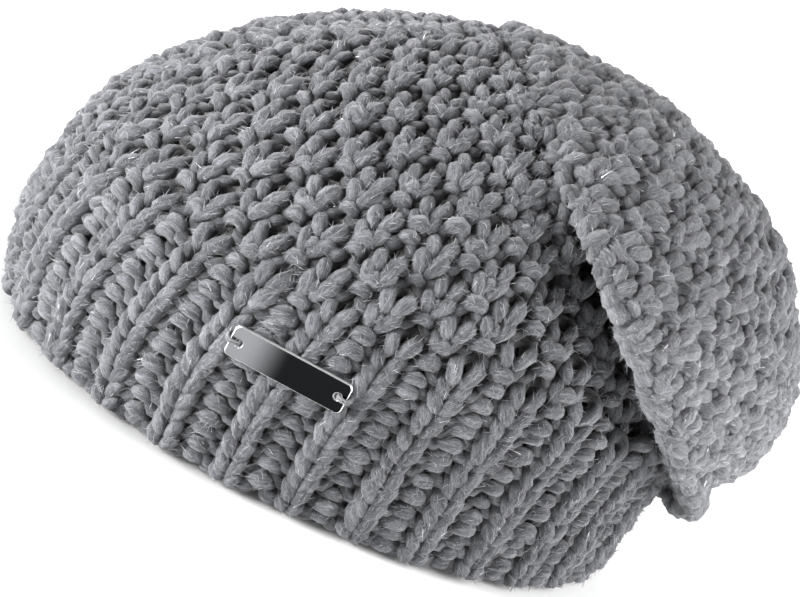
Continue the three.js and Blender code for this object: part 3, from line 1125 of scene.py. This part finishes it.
@dataclass(frozen=True)
class RovingYarn:
    """Soft acrylic and wool roving, barely twisted: matt, streaky grey with a fine silver filament."""

    name: str = "Grey roving yarn"
    dark: str = "#38393c"
    middle: str = "#595a5e"
    light: str = "#7f8084"
    # How dark the painted shade makes the yarn at the middle depth of the cloth
    deepest_painted_shade: float = 0.05

    def material(self) -> bpy.types.Material:
        """Returns the yarn's material."""
        material = bpy.data.materials.new(self.name)
        material.use_nodes = True
        tree = material.node_tree
        tree.nodes.clear()
        place = add_node(tree, "ShaderNodeAttribute", {"attribute_name": "fibre"})
        shade = add_node(tree, "ShaderNodeAttribute", {"attribute_name": "shade"})
        # Fibres 0.25 mm wide and some 8 mm long, laid round the yarn in its twist
        strands = add_node(
            tree,
            "ShaderNodeMapping",
            inputs={"Vector": place.outputs["Vector"], "Scale": (3300.0, 3300.0, 700.0)},
        )
        fibres = add_node(
            tree,
            "ShaderNodeTexNoise",
            inputs={
                "Vector": strands.outputs["Vector"],
                "Scale": 1.0,
                "Detail": 4.0,
                "Roughness": 0.7,
                "Distortion": 1.2,
            },
        )
        tufts = add_node(
            tree,
            "ShaderNodeMapping",
            inputs={"Vector": place.outputs["Vector"], "Scale": (650.0, 650.0, 160.0)},
        )
        locks = add_node(
            tree,
            "ShaderNodeTexNoise",
            inputs={"Vector": tufts.outputs["Vector"], "Scale": 1.0, "Detail": 2.0},
        )
        mixed = add_node(
            tree,
            "ShaderNodeMath",
            {"operation": "MULTIPLY_ADD"},
            {0: locks.outputs["Fac"], 1: 0.55, 2: fibres.outputs["Fac"]},
        )
        ramp = add_node(tree, "ShaderNodeValToRGB", inputs={"Fac": mixed.outputs[0]})
        ramp.color_ramp.elements[0].position = 0.6
        ramp.color_ramp.elements[0].color = linear_colour(self.dark)
        ramp.color_ramp.elements[1].position = 0.94
        ramp.color_ramp.elements[1].color = linear_colour(self.light)
        middle = ramp.color_ramp.elements.new(0.775)
        middle.color = linear_colour(self.middle)
        lift = add_node(
            tree,
            "ShaderNodeMapRange",
            {"clamp": False},
            {"Value": shade.outputs["Fac"], "To Min": 0.88, "To Max": 1.12},
        )
        toned = add_node(
            tree,
            "ShaderNodeMix",
            {"data_type": "RGBA", "blend_type": "MULTIPLY"},
            {0: 1.0, 6: ramp.outputs["Color"], 7: lift.outputs["Result"]},
        )
        # Painted shade: little light reaches the yarn between the loops, so its colour is darkened towards the
        # middle depth of the cloth
        height = add_node(tree, "ShaderNodeAttribute", {"attribute_name": "height"})
        away = add_node(
            tree, "ShaderNodeMath", {"operation": "ABSOLUTE"}, {0: height.outputs["Fac"]}
        )
        painted_shade = add_node(
            tree,
            "ShaderNodeMapRange",
            {"interpolation_type": "SMOOTHSTEP"},
            {
                "Value": away.outputs[0],
                "From Min": 0.0005,
                "From Max": 0.0036,
                "To Min": self.deepest_painted_shade,
                "To Max": 1.0,
            },
        )
        shaded_colour = add_node(
            tree,
            "ShaderNodeMix",
            {"data_type": "RGBA", "blend_type": "MULTIPLY"},
            {0: 1.0, 6: toned.outputs[2], 7: painted_shade.outputs["Result"]},
        )
        bump = add_node(
            tree,
            "ShaderNodeBump",
            inputs={"Height": mixed.outputs[0], "Strength": 0.8, "Distance": 0.0005},
        )
        shader = add_node(
            tree,
            "ShaderNodeBsdfPrincipled",
            inputs={
                "Base Color": shaded_colour.outputs[2],
                "Roughness": 0.85,
                "Specular IOR Level": 0.2,
                "Sheen Weight": 0.35,
                "Sheen Roughness": 0.4,
                "Normal": bump.outputs["Normal"],
            },
        )
        add_node(tree, "ShaderNodeOutputMaterial", inputs={"Surface": shader.outputs["BSDF"]})
        return material


@dataclass(frozen=True)
class PolishedSteel:
    """Stamped steel, dark and polished: a deep mirror. Its dark colour is partly its own and partly a painted dark
    reflection; the paler front third is a painted reflection and the bright rim a painted highlight.
    """

    outward: tuple[float, float, float]
    along: tuple[float, float, float]
    middle: tuple[float, float, float]
    name: str = "Dark polished steel"
    # pale paints a reflection on the front third, deep is the dark steel and also a painted dark reflection, and
    # rim paints a highlight
    pale: str = "#7f8083"
    deep: str = "#161718"
    rim: str = "#f6f6f6"

    def material(self) -> bpy.types.Material:
        """Returns the tag's material."""
        material = bpy.data.materials.new(self.name)
        material.use_nodes = True
        tree = material.node_tree
        tree.nodes.clear()
        place = add_node(tree, "ShaderNodeTexCoord")
        offset = add_node(
            tree,
            "ShaderNodeVectorMath",
            {"operation": "SUBTRACT"},
            {0: place.outputs["Object"], 1: self.middle},
        )
        reach = add_node(
            tree,
            "ShaderNodeVectorMath",
            {"operation": "DOT_PRODUCT"},
            {0: offset.outputs["Vector"], 1: self.along},
        )
        # Painted reflection: the front third is paler, and the change spreads over some 6 mm
        reflection_mask = add_node(
            tree,
            "ShaderNodeMapRange",
            {"interpolation_type": "SMOOTHSTEP"},
            {"Value": reach.outputs["Value"], "From Min": -0.014, "From Max": -0.001},
        )
        reflected_colour = add_node(
            tree,
            "ShaderNodeMix",
            {"data_type": "RGBA"},
            {
                0: reflection_mask.outputs["Result"],
                6: linear_colour(self.pale),
                7: linear_colour(self.deep),
            },
        )
        face = add_node(tree, "ShaderNodeNewGeometry")
        facing = add_node(
            tree,
            "ShaderNodeVectorMath",
            {"operation": "DOT_PRODUCT"},
            {0: face.outputs["True Normal"], 1: self.outward},
        )
        flat = add_node(
            tree,
            "ShaderNodeMapRange",
            inputs={"Value": facing.outputs["Value"], "From Min": 0.9, "From Max": 0.97},
        )
        # Painted highlight: the bevelled rim is near white
        rim_highlighted = add_node(
            tree,
            "ShaderNodeMix",
            {"data_type": "RGBA"},
            {0: flat.outputs["Result"], 6: linear_colour(self.rim), 7: reflected_colour.outputs[2]},
        )
        # Fine rubbing marks from wear, 0.5 mm apart
        grain = add_node(
            tree,
            "ShaderNodeTexNoise",
            inputs={"Vector": place.outputs["Object"], "Scale": 2000.0, "Detail": 4.0},
        )
        rough = add_node(
            tree,
            "ShaderNodeMapRange",
            inputs={"Value": grain.outputs["Fac"], "To Min": 0.1, "To Max": 0.3},
        )
        dulled = add_node(
            tree,
            "ShaderNodeMapRange",
            inputs={
                "Value": flat.outputs["Result"],
                "To Min": 0.45,
                "To Max": rough.outputs["Result"],
            },
        )
        bump = add_node(
            tree,
            "ShaderNodeBump",
            inputs={"Height": grain.outputs["Fac"], "Strength": 0.5, "Distance": 0.00005},
        )
        shader = add_node(
            tree,
            "ShaderNodeBsdfPrincipled",
            inputs={
                "Base Color": rim_highlighted.outputs[2],
                "Metallic": 1.0,
                "Roughness": dulled.outputs["Result"],
                "Normal": bump.outputs["Normal"],
            },
        )
        add_node(tree, "ShaderNodeOutputMaterial", inputs={"Surface": shader.outputs["BSDF"]})
        return material


# The pieces

@dataclass
class KnittedCloth:
    """The whole knitted cloth, from the cast-on edge to the gathered end of the slouch."""

    finish: bpy.types.Material
    rib_finish: bpy.types.Material
    lit_finish: bpy.types.Material
    tree: bpy.types.NodeTree
    loose: tuple[LooseFibres, ...]
    sides: int = 9
    fibre_turn: float = 48.0
    body_course: float = 5.8
    body_courses: int = 26
    slouch_course: float = 6.3
    slouch_pitch: float = 8.9
    slouch_lean: float = 32.0
    slouch_lean_angle: float = 130.0

    def body_lattice(self) -> Lattice:
        """Returns the grid of stitches of brim and body."""
        lattice = Lattice(Surface(BODY_SECTIONS), 0.0, 28.9)
        start = np.interp(BRIM_ROWS, lattice.fine_rows, np.arange(len(lattice.fine_rows)))
        base = np.array([np.interp(start, np.arange(len(lattice.fine_rows)), lattice.arc[:, a])
                         for a in range(lattice.ANGLES + 1)])
        above = (lattice.arc - base[None, :]) / self.body_course
        below = (lattice.fine_rows - BRIM_ROWS)[:, None] * np.ones_like(above)
        lattice.lay_levels(np.where(lattice.fine_rows[:, None] <= BRIM_ROWS, below, above), -11.0, 27.0)
        edges = brim_boundaries()
        front = int(np.argmin(np.abs(np.degrees(edges) - 100)))
        far = int(np.argmin(np.abs(np.degrees(edges) - 185)))
        back = int(np.argmin(np.abs(np.degrees(edges) - 260)))
        whole = 2 * math.pi
        scale = np.interp(lattice.levels, [3.0, 10.0, 20.0], [1.0, 0.9, 0.86])
        near_back = edges[back:][::-1] - whole
        spans = (
            (near_back, -1, -1),
            (edges[: front + 1], 0, 1),
            (edges[front : far + 1][::-1], far - 1, -1),
            (edges[far : back + 1], far, 1),
        )
        for span, label, step in spans:
            sector = Sector(float(span[0]), float(span[-1]), span, label, step)
            lattice.add_sector(sector, scale, 3.0)
        return lattice

    def slouch_lattice(self) -> Lattice:
        """Returns the grid of stitches of the slouched bag."""
        lattice = Lattice(Surface(SLOUCH_SECTIONS), 28.5, 52.6)
        length = lattice.arc[-1]
        share = lattice.arc / length[None, :]
        mean = float(length.mean())
        lean = self.slouch_lean * np.cos(lattice.fine_angles - math.radians(self.slouch_lean_angle))
        level = (share * mean + lean[None, :] * (1 - share)) / self.slouch_course
        lattice.lay_levels(level, -9.0, math.floor(mean / self.slouch_course))
        anchor = math.radians(self.slouch_lean_angle - 180)
        dart = math.radians(self.slouch_lean_angle)
        edges = np.arange(0, 36) * self.slouch_pitch
        scale = np.interp(lattice.levels, [0, 20.0], [1.0, 0.85])
        behind = Sector(dart + 0.0, dart, edges, -1, -1)
        behind = Sector(anchor + 2 * math.pi, dart, edges, -1, -1)
        ahead = Sector(anchor, dart, edges, 0, 1)
        lattice.add_sector(ahead, scale, None)
        lattice.add_sector(behind, scale, None)
        return lattice

    def lay(self, knitter: Knitter, courses: range, keep: KeepRule) -> YarnPaths:
        """Lays several courses of one piece."""
        paths = YarnPaths()
        for number in courses:
            for run, closed in knitter.course(number, keep):
                paths.add(run, closed)
        return paths

    def gathered_end(self, surface: Surface) -> YarnPaths:
        """Winds the drawn-up end of the yarn in a small flat spiral at the tip of the slouch."""
        part = np.linspace(0, 1, 90)
        rows = 52.0 + 0.97 * part
        angles = part * 2.6 * 2 * math.pi
        points = surface.points(rows, angles)
        tip = surface.points(np.array(52.99), np.array(0.0))
        inner = surface.points(np.array(51.0), np.linspace(0, 2 * math.pi, 40)).mean(axis=0)
        outward = (tip - inner) / np.linalg.norm(tip - inner)
        wave = 0.5 * np.sin(angles * 4.5)
        paths = YarnPaths()
        run = {
            "points": points + outward * (wave - 3.4)[:, None],
            "outward": np.repeat(outward[None, :], len(part), axis=0),
            "yarn_radius": np.full(len(part), 2.1) * (1 + 0.08 * np.sin(angles * 4.5 + 1)),
            "shade": np.full(len(part), 0.5),
            "lift": np.full(len(part), 1.4),
        }
        paths.add(run, False)
        return paths

    def build(self) -> list[bpy.types.Object]:
        """Builds brim, body and slouch, and returns their pieces."""
        body, slouch = self.body_lattice(), self.slouch_lattice()
        body_tree = body.surface.closed_tree(0.0, 28.9)
        slouch_tree = slouch.surface.closed_tree(28.5, 52.6)
        brim_keep = KeepRule(lowest_level=-10.6, rib_depth=0.7)
        body_keep = KeepRule(other=slouch_tree, always_below_row=18.0, rib_depth=0.7, dent=8.0)
        # The slouch's painted light is darkened away where it runs into the body
        slouch_keep = KeepRule(other=body_tree, tone_shift=-1.0)
        rib = Knitter(body, Pattern.RIB, Loop(), 11)
        moss = Knitter(body, Pattern.MOSS, Loop(), 23)
        bag = Knitter(slouch, Pattern.MOSS, Loop(radius=2.45, depth=1.6, swing=0.2, slub=0.04), 37)
        cast_on = Knitter(body, Pattern.RIB, Loop(swing=0.1, purl_swing=0.1, rise=0.5, depth=1.5), 5)
        edge = YarnPaths()
        for run, closed in cast_on.course(-BRIM_ROWS, brim_keep, -0.1):
            edge.add(run, closed)
        plans = (
            ("brim_cast_on", edge, self.rib_finish, "ribbed_brim"),
            ("brim_knit", self.lay(rib, range(-BRIM_ROWS, 0), brim_keep), self.rib_finish, "ribbed_brim"),
            ("body_knit_lower", self.lay(moss, range(0, 10), body_keep), self.finish, "crown"),
            (
                "body_knit_upper",
                self.lay(moss, range(10, self.body_courses), body_keep),
                self.finish,
                "crown",
            ),
            ("slouch_knit_lip", self.lay(bag, range(-8, 8), slouch_keep), self.lit_finish, "crown"),
            ("slouch_knit_bag", self.lay(bag, range(8, 24), slouch_keep), self.lit_finish, "crown"),
            ("slouch_gathered_end", self.gathered_end(slouch.surface), self.lit_finish, "crown"),
        )
        pieces = []
        for name, paths, finish, node in plans:
            piece = spin(paths, name, self.tree, self.sides, self.fibre_turn, finish)
            made = [piece]
            for fibres in self.loose:
                made.append(fibres.scatter(piece, f"{name}_{fibres.name}"))
            for part in made:
                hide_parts(node)
                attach(part, "root")
            pieces += made
        return pieces


@dataclass
class MetalTag:
    """The small bare plate on the brim and the thread loops that sew it on."""

    thread_finish: bpy.types.Material
    tree: bpy.types.NodeTree
    angle: float = 20.8
    row: float = 8.75
    gap: float = 0.3
    length: float = 38.0
    thick: float = 1.2
    inset: float = 2.9
    strand: float = 0.24
    turns_apart: float = 0.62
    ply_turn: float = 1.9

    def axes(self) -> tuple[np.ndarray, np.ndarray, np.ndarray, np.ndarray]:
        """Returns the middle of the plate's back and its directions along, up and outward."""
        surface = Surface(BODY_SECTIONS)
        angle, step = math.radians(self.angle), 0.02

        def at(row: float, turn: float) -> np.ndarray:
            return surface.points(np.array(row), np.array(turn))

        along = at(self.row, angle + step) - at(self.row, angle - step)
        up = at(self.row + step, angle) - at(self.row - step, angle)
        outward = np.cross(up, along)
        outward /= np.linalg.norm(outward)
        sideways = np.cross(np.array([0.0, 0.0, 1.0]), outward)
        sideways /= np.linalg.norm(sideways)
        middle = at(self.row, angle) + outward * self.gap
        return middle, sideways, np.cross(outward, sideways), outward

    def loop_path(self, end: int, turn: int) -> np.ndarray:
        """Returns the route of one turn of thread, up through the hole and over the short edge."""
        hole, out = self.length / 2 - self.inset, self.length / 2 + 1.0
        top = self.thick + 0.75
        aside = turn * self.turns_apart / 2
        corners = np.array(
            [
                (hole - 0.2, -1.2 - 2.2),
                (hole - 0.1, 0.2),
                (hole + 0.3, self.thick + 0.3),
                (hole + 1.3, top),
                (out - 0.9, top),
                (out, self.thick / 2),
                (out + 0.1, -1.2),
                (out - 0.3, -3.4),
            ]
        )
        reach = np.linspace(0, len(corners) - 1, 64)
        smooth = np.stack([catmull_rom(corners[:, axis], reach) for axis in (0, 1)], axis=1)
        middle, along, up, outward = self.axes()
        slant = aside * (1 + 0.5 * np.sin(reach / 7 * math.pi))
        return (
            middle
            + end * smooth[:, :1] * along
            + slant[:, None] * up
            + smooth[:, 1:] * outward
        )

    def build(self, plate_finish: bpy.types.Material) -> list[bpy.types.Object]:
        """Dresses the plate and builds its two thread loops."""
        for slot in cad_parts["tag_plate"].material_slots:
            slot.material = plate_finish
        pieces = []
        for end, node in ((-1, "tag_thread_front"), (1, "tag_thread_rear")):
            paths = YarnPaths()
            for turn in (-1, 1):
                for ply in (0, 1):
                    paths.add(self.ply(self.loop_path(end, turn), ply), False)
            piece = spin(paths, node + "_loops", self.tree, 6, 1.6, self.thread_finish)
            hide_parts(node)
            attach(piece, "root")
            pieces.append(piece)
        return pieces

    def ply(self, route: np.ndarray, number: int) -> dict[str, np.ndarray]:
        """Winds one of two plies round a route."""
        steps = np.linalg.norm(np.diff(route, axis=0), axis=1)
        travelled = np.concatenate([[0], np.cumsum(steps)])
        heading = np.gradient(route, axis=0)
        heading /= np.linalg.norm(heading, axis=1, keepdims=True)
        side = self.axes()[2]
        across = np.cross(heading, side)
        across /= np.linalg.norm(across, axis=1, keepdims=True)
        level = np.cross(across, heading)
        turn = (travelled / self.ply_turn + number / 2) * 2 * math.pi
        offset = np.cos(turn)[:, None] * across + np.sin(turn)[:, None] * level
        count = len(route)
        return {
            "points": route + offset * self.strand * 0.8,
            "outward": np.repeat(self.axes()[3][None, :], count, axis=0),
            "yarn_radius": np.full(count, self.strand),
            "shade": np.full(count, 0.5),
            "lift": np.full(count, 2.0),
        }


def catmull_rom(values: np.ndarray, reach: np.ndarray) -> np.ndarray:
    """Reads a smooth curve through evenly numbered values."""
    padded = np.concatenate([[2 * values[0] - values[1]], values, [2 * values[-1] - values[-2]]])
    i = np.clip(np.floor(reach).astype(int), 0, len(values) - 2)
    t = reach - i
    a, b, c, d = padded[i], padded[i + 1], padded[i + 2], padded[i + 3]
    return 0.5 * (
        2 * b + (c - a) * t + (2 * a - 5 * b + 4 * c - d) * t**2 + (3 * b - a - 3 * c + d) * t**3
    )


def spin(
    paths: YarnPaths,
    name: str,
    tree: bpy.types.NodeTree,
    sides: int,
    fibre_turn: float,
    finish: bpy.types.Material,
) -> bpy.types.Object:
    """Turns centre lines into yarn.

    Args:
        paths: the centre lines.
        name: the piece's name.
        tree: the node tree of the yarn.
        sides: faces round the yarn.
        fibre_turn: length in which the fibres go once round the yarn, in millimetres.
        finish: the yarn's material.

    Returns:
        The yarn as a plain mesh object.
    """
    source = bpy.data.objects.new(name + "_lines", paths.mesh(name + "_lines"))
    bpy.context.collection.objects.link(source)
    modifier = source.modifiers.new("Spun yarn", "NODES")
    modifier.node_group = tree
    twist = 2 * math.pi / (fibre_turn * MM)
    set_inputs(modifier, {"Sides": sides, "Twist": twist, "Finish": finish})
    piece = evaluated_copy(source, name)
    LOG.info("%s: %d faces", name, len(piece.data.polygons))
    return piece


@dataclass
class Studio:
    """The plain pale floor, the soft lights and the camera of the picture."""

    azimuth: float = 72.0
    elevation: float = 21.5
    roll: float = 29.0
    distance: float = 1.15
    lens: float = 163.6
    aim_right: float = 26.5
    aim_up: float = 37.6
    middle_light: float = 0.12
    side_light: float = 0.9

    def axes(self) -> tuple[Vector, Vector, Vector]:
        """Returns the picture's right and up and the direction towards the camera."""
        az, el, roll = (math.radians(v) for v in (self.azimuth, self.elevation, self.roll))
        towards = Vector((math.cos(el) * math.sin(az), -math.cos(el) * math.cos(az), math.sin(el)))
        level = Vector((math.cos(az), math.sin(az), 0))
        upright = towards.cross(level)
        right = math.cos(roll) * level + math.sin(roll) * upright
        up = -math.sin(roll) * level + math.cos(roll) * upright
        return right, up, towards

    def build_camera(self) -> None:
        """Places the camera."""
        right, up, towards = self.axes()
        camera = bpy.data.cameras.new("camera")
        camera.lens = self.lens
        camera.sensor_width = 36.0
        camera.clip_end = 100.0
        holder = bpy.data.objects.new("camera", camera)
        centre = Vector((FRAME_SHIFT * MM).tolist())
        place = centre + towards * self.distance
        aim = centre + right * self.aim_right * MM + up * self.aim_up * MM
        behind = (place - aim).normalized()
        across = up.cross(behind).normalized()
        turn = Matrix((across, behind.cross(across), behind)).transposed()
        holder.matrix_world = Matrix.Translation(place) @ turn.to_4x4()
        bpy.context.collection.objects.link(holder)
        bpy.context.scene.camera = holder

    def build_lights(self) -> None:
        """Builds the floor, the sky and the softboxes."""
        floor_mesh = bpy.data.meshes.new("floor")
        size = 12.0
        corners = [(-size, -size, 0), (size, -size, 0), (size, size, 0), (-size, size, 0)]
        floor_mesh.from_pydata(corners, [], [(0, 1, 2, 3)])
        floor = bpy.data.objects.new("floor", floor_mesh)
        bpy.context.collection.objects.link(floor)
        material = bpy.data.materials.new("Pale seamless paper")
        material.use_nodes = True
        shader = material.node_tree.nodes["Principled BSDF"]
        shader.inputs["Base Color"].default_value = linear_colour("#f4f4f4")
        shader.inputs["Roughness"].default_value = 0.9
        shader.inputs["Emission Color"].default_value = (1, 1, 1, 1)
        # Painted glow: the paper glows a little, as on a light table, though it is no lamp; the glow fades out
        # under and around the hat, which paints a soft shadow at its edge
        paper = material.node_tree
        spot = add_node(paper, "ShaderNodeTexCoord")
        away = add_node(
            paper, "ShaderNodeVectorMath", {"operation": "LENGTH"}, {0: spot.outputs["Object"]}
        )
        painted_glow = add_node(
            paper,
            "ShaderNodeMapRange",
            {"interpolation_type": "SMOOTHSTEP"},
            {"Value": away.outputs["Value"], "From Min": 0.09, "From Max": 0.22, "To Max": 0.55},
        )
        paper.links.new(painted_glow.outputs["Result"], shader.inputs["Emission Strength"])
        floor_mesh.materials.append(material)
        world = bpy.data.worlds.new("studio")
        world.use_nodes = True
        tree = world.node_tree
        tree.nodes.clear()
        place = add_node(tree, "ShaderNodeTexCoord")
        parts = add_node(tree, "ShaderNodeSeparateXYZ", inputs={"Vector": place.outputs["Generated"]})
        aside = add_node(
            tree, "ShaderNodeMath", {"operation": "POWER"}, {0: parts.outputs["Y"], 1: 2.0}
        )
        level = add_node(
            tree,
            "ShaderNodeMapRange",
            inputs={
                "Value": aside.outputs[0],
                "To Min": self.middle_light,
                "To Max": self.side_light,
            },
        )
        sky = add_node(
            tree,
            "ShaderNodeBackground",
            inputs={"Color": (1, 1, 1, 1), "Strength": level.outputs["Result"]},
        )
        add_node(tree, "ShaderNodeOutputWorld", inputs={"Surface": sky.outputs["Background"]})
        bpy.context.scene.world = world
        bpy.context.scene.view_settings.view_transform = "Standard"
        centre = Vector((0, 0, 0.07))
        boxes = (
            ("front_left", Vector((0.25, -1.15, 0.12)), 0.6, 48.0),
            ("back_right", Vector((0.45, 1.1, 0.25)), 0.9, 29.0),
            ("high_back", Vector((0.1, 1.0, 1.0)), 0.8, 10.0),
            ("far_side", Vector((-1.15, 0.1, 0.15)), 0.6, 15.0),
        )
        for name, place, width, power in boxes:
            light = bpy.data.lights.new(name, "AREA")
            light.shape = "SQUARE"
            light.size = width
            light.energy = power
            lamp = bpy.data.objects.new(name, light)
            spot = centre + place
            facing = (spot - centre).normalized().to_track_quat("Z", "Y")
            lamp.matrix_world = Matrix.Translation(spot) @ facing.to_matrix().to_4x4()
            bpy.context.collection.objects.link(lamp)


def main() -> None:
    """Builds the hat on the frame."""
    logging.basicConfig(level=logging.INFO, format="%(message)s")
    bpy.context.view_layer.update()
    Studio().build_camera()
    Studio().build_lights()
    yarn = RovingYarn().material()
    thread = RovingYarn(
        name="Polyester sewing thread", dark="#8d8e91", middle="#adaeb1", light="#cfd0d2"
    ).material()
    spun = yarn_tree()
    tag = MetalTag(thread, spun)
    middle, along, up, outward = tag.axes()
    seat = PlateSeat(middle, along, up, outward)
    scatter = fibre_tree()
    grey, silver = FluffFibre().material(), SilverFilament().material()
    fluff = LooseFibres("fluff", 3.6, 0.6, 0.28, 400000.0, 1.3, 0.4, 61, grey, scatter, seat)
    glints = LooseFibres("glints", 3.8, 0.35, 0.18, 16000.0, 0.6, 0.35, 83, silver, scatter, seat)
    # The rib's yarn has less painted shade between its loops
    ribbed = RovingYarn(name="Grey roving yarn in rib", deepest_painted_shade=0.42).material()
    # Painted light: the slouch's yarn is a lighter copy of the same grey, for the light it catches, with less
    # painted shade between its loops
    lit_yarn = RovingYarn(
        name="Felted roving yarn", dark="#4b4c50", middle="#6c6d71", light="#8e8f93", deepest_painted_shade=0.6
    ).material()
    KnittedCloth(yarn, ribbed, lit_yarn, spun, (fluff, glints)).build()
    steel = PolishedSteel(
        outward=tuple(outward.tolist()),
        along=tuple(along.tolist()),
        middle=tuple(((middle + FRAME_SHIFT) * MM).tolist()),
    )
    tag.build(steel.material())


if __name__ == "__main__":
    main()
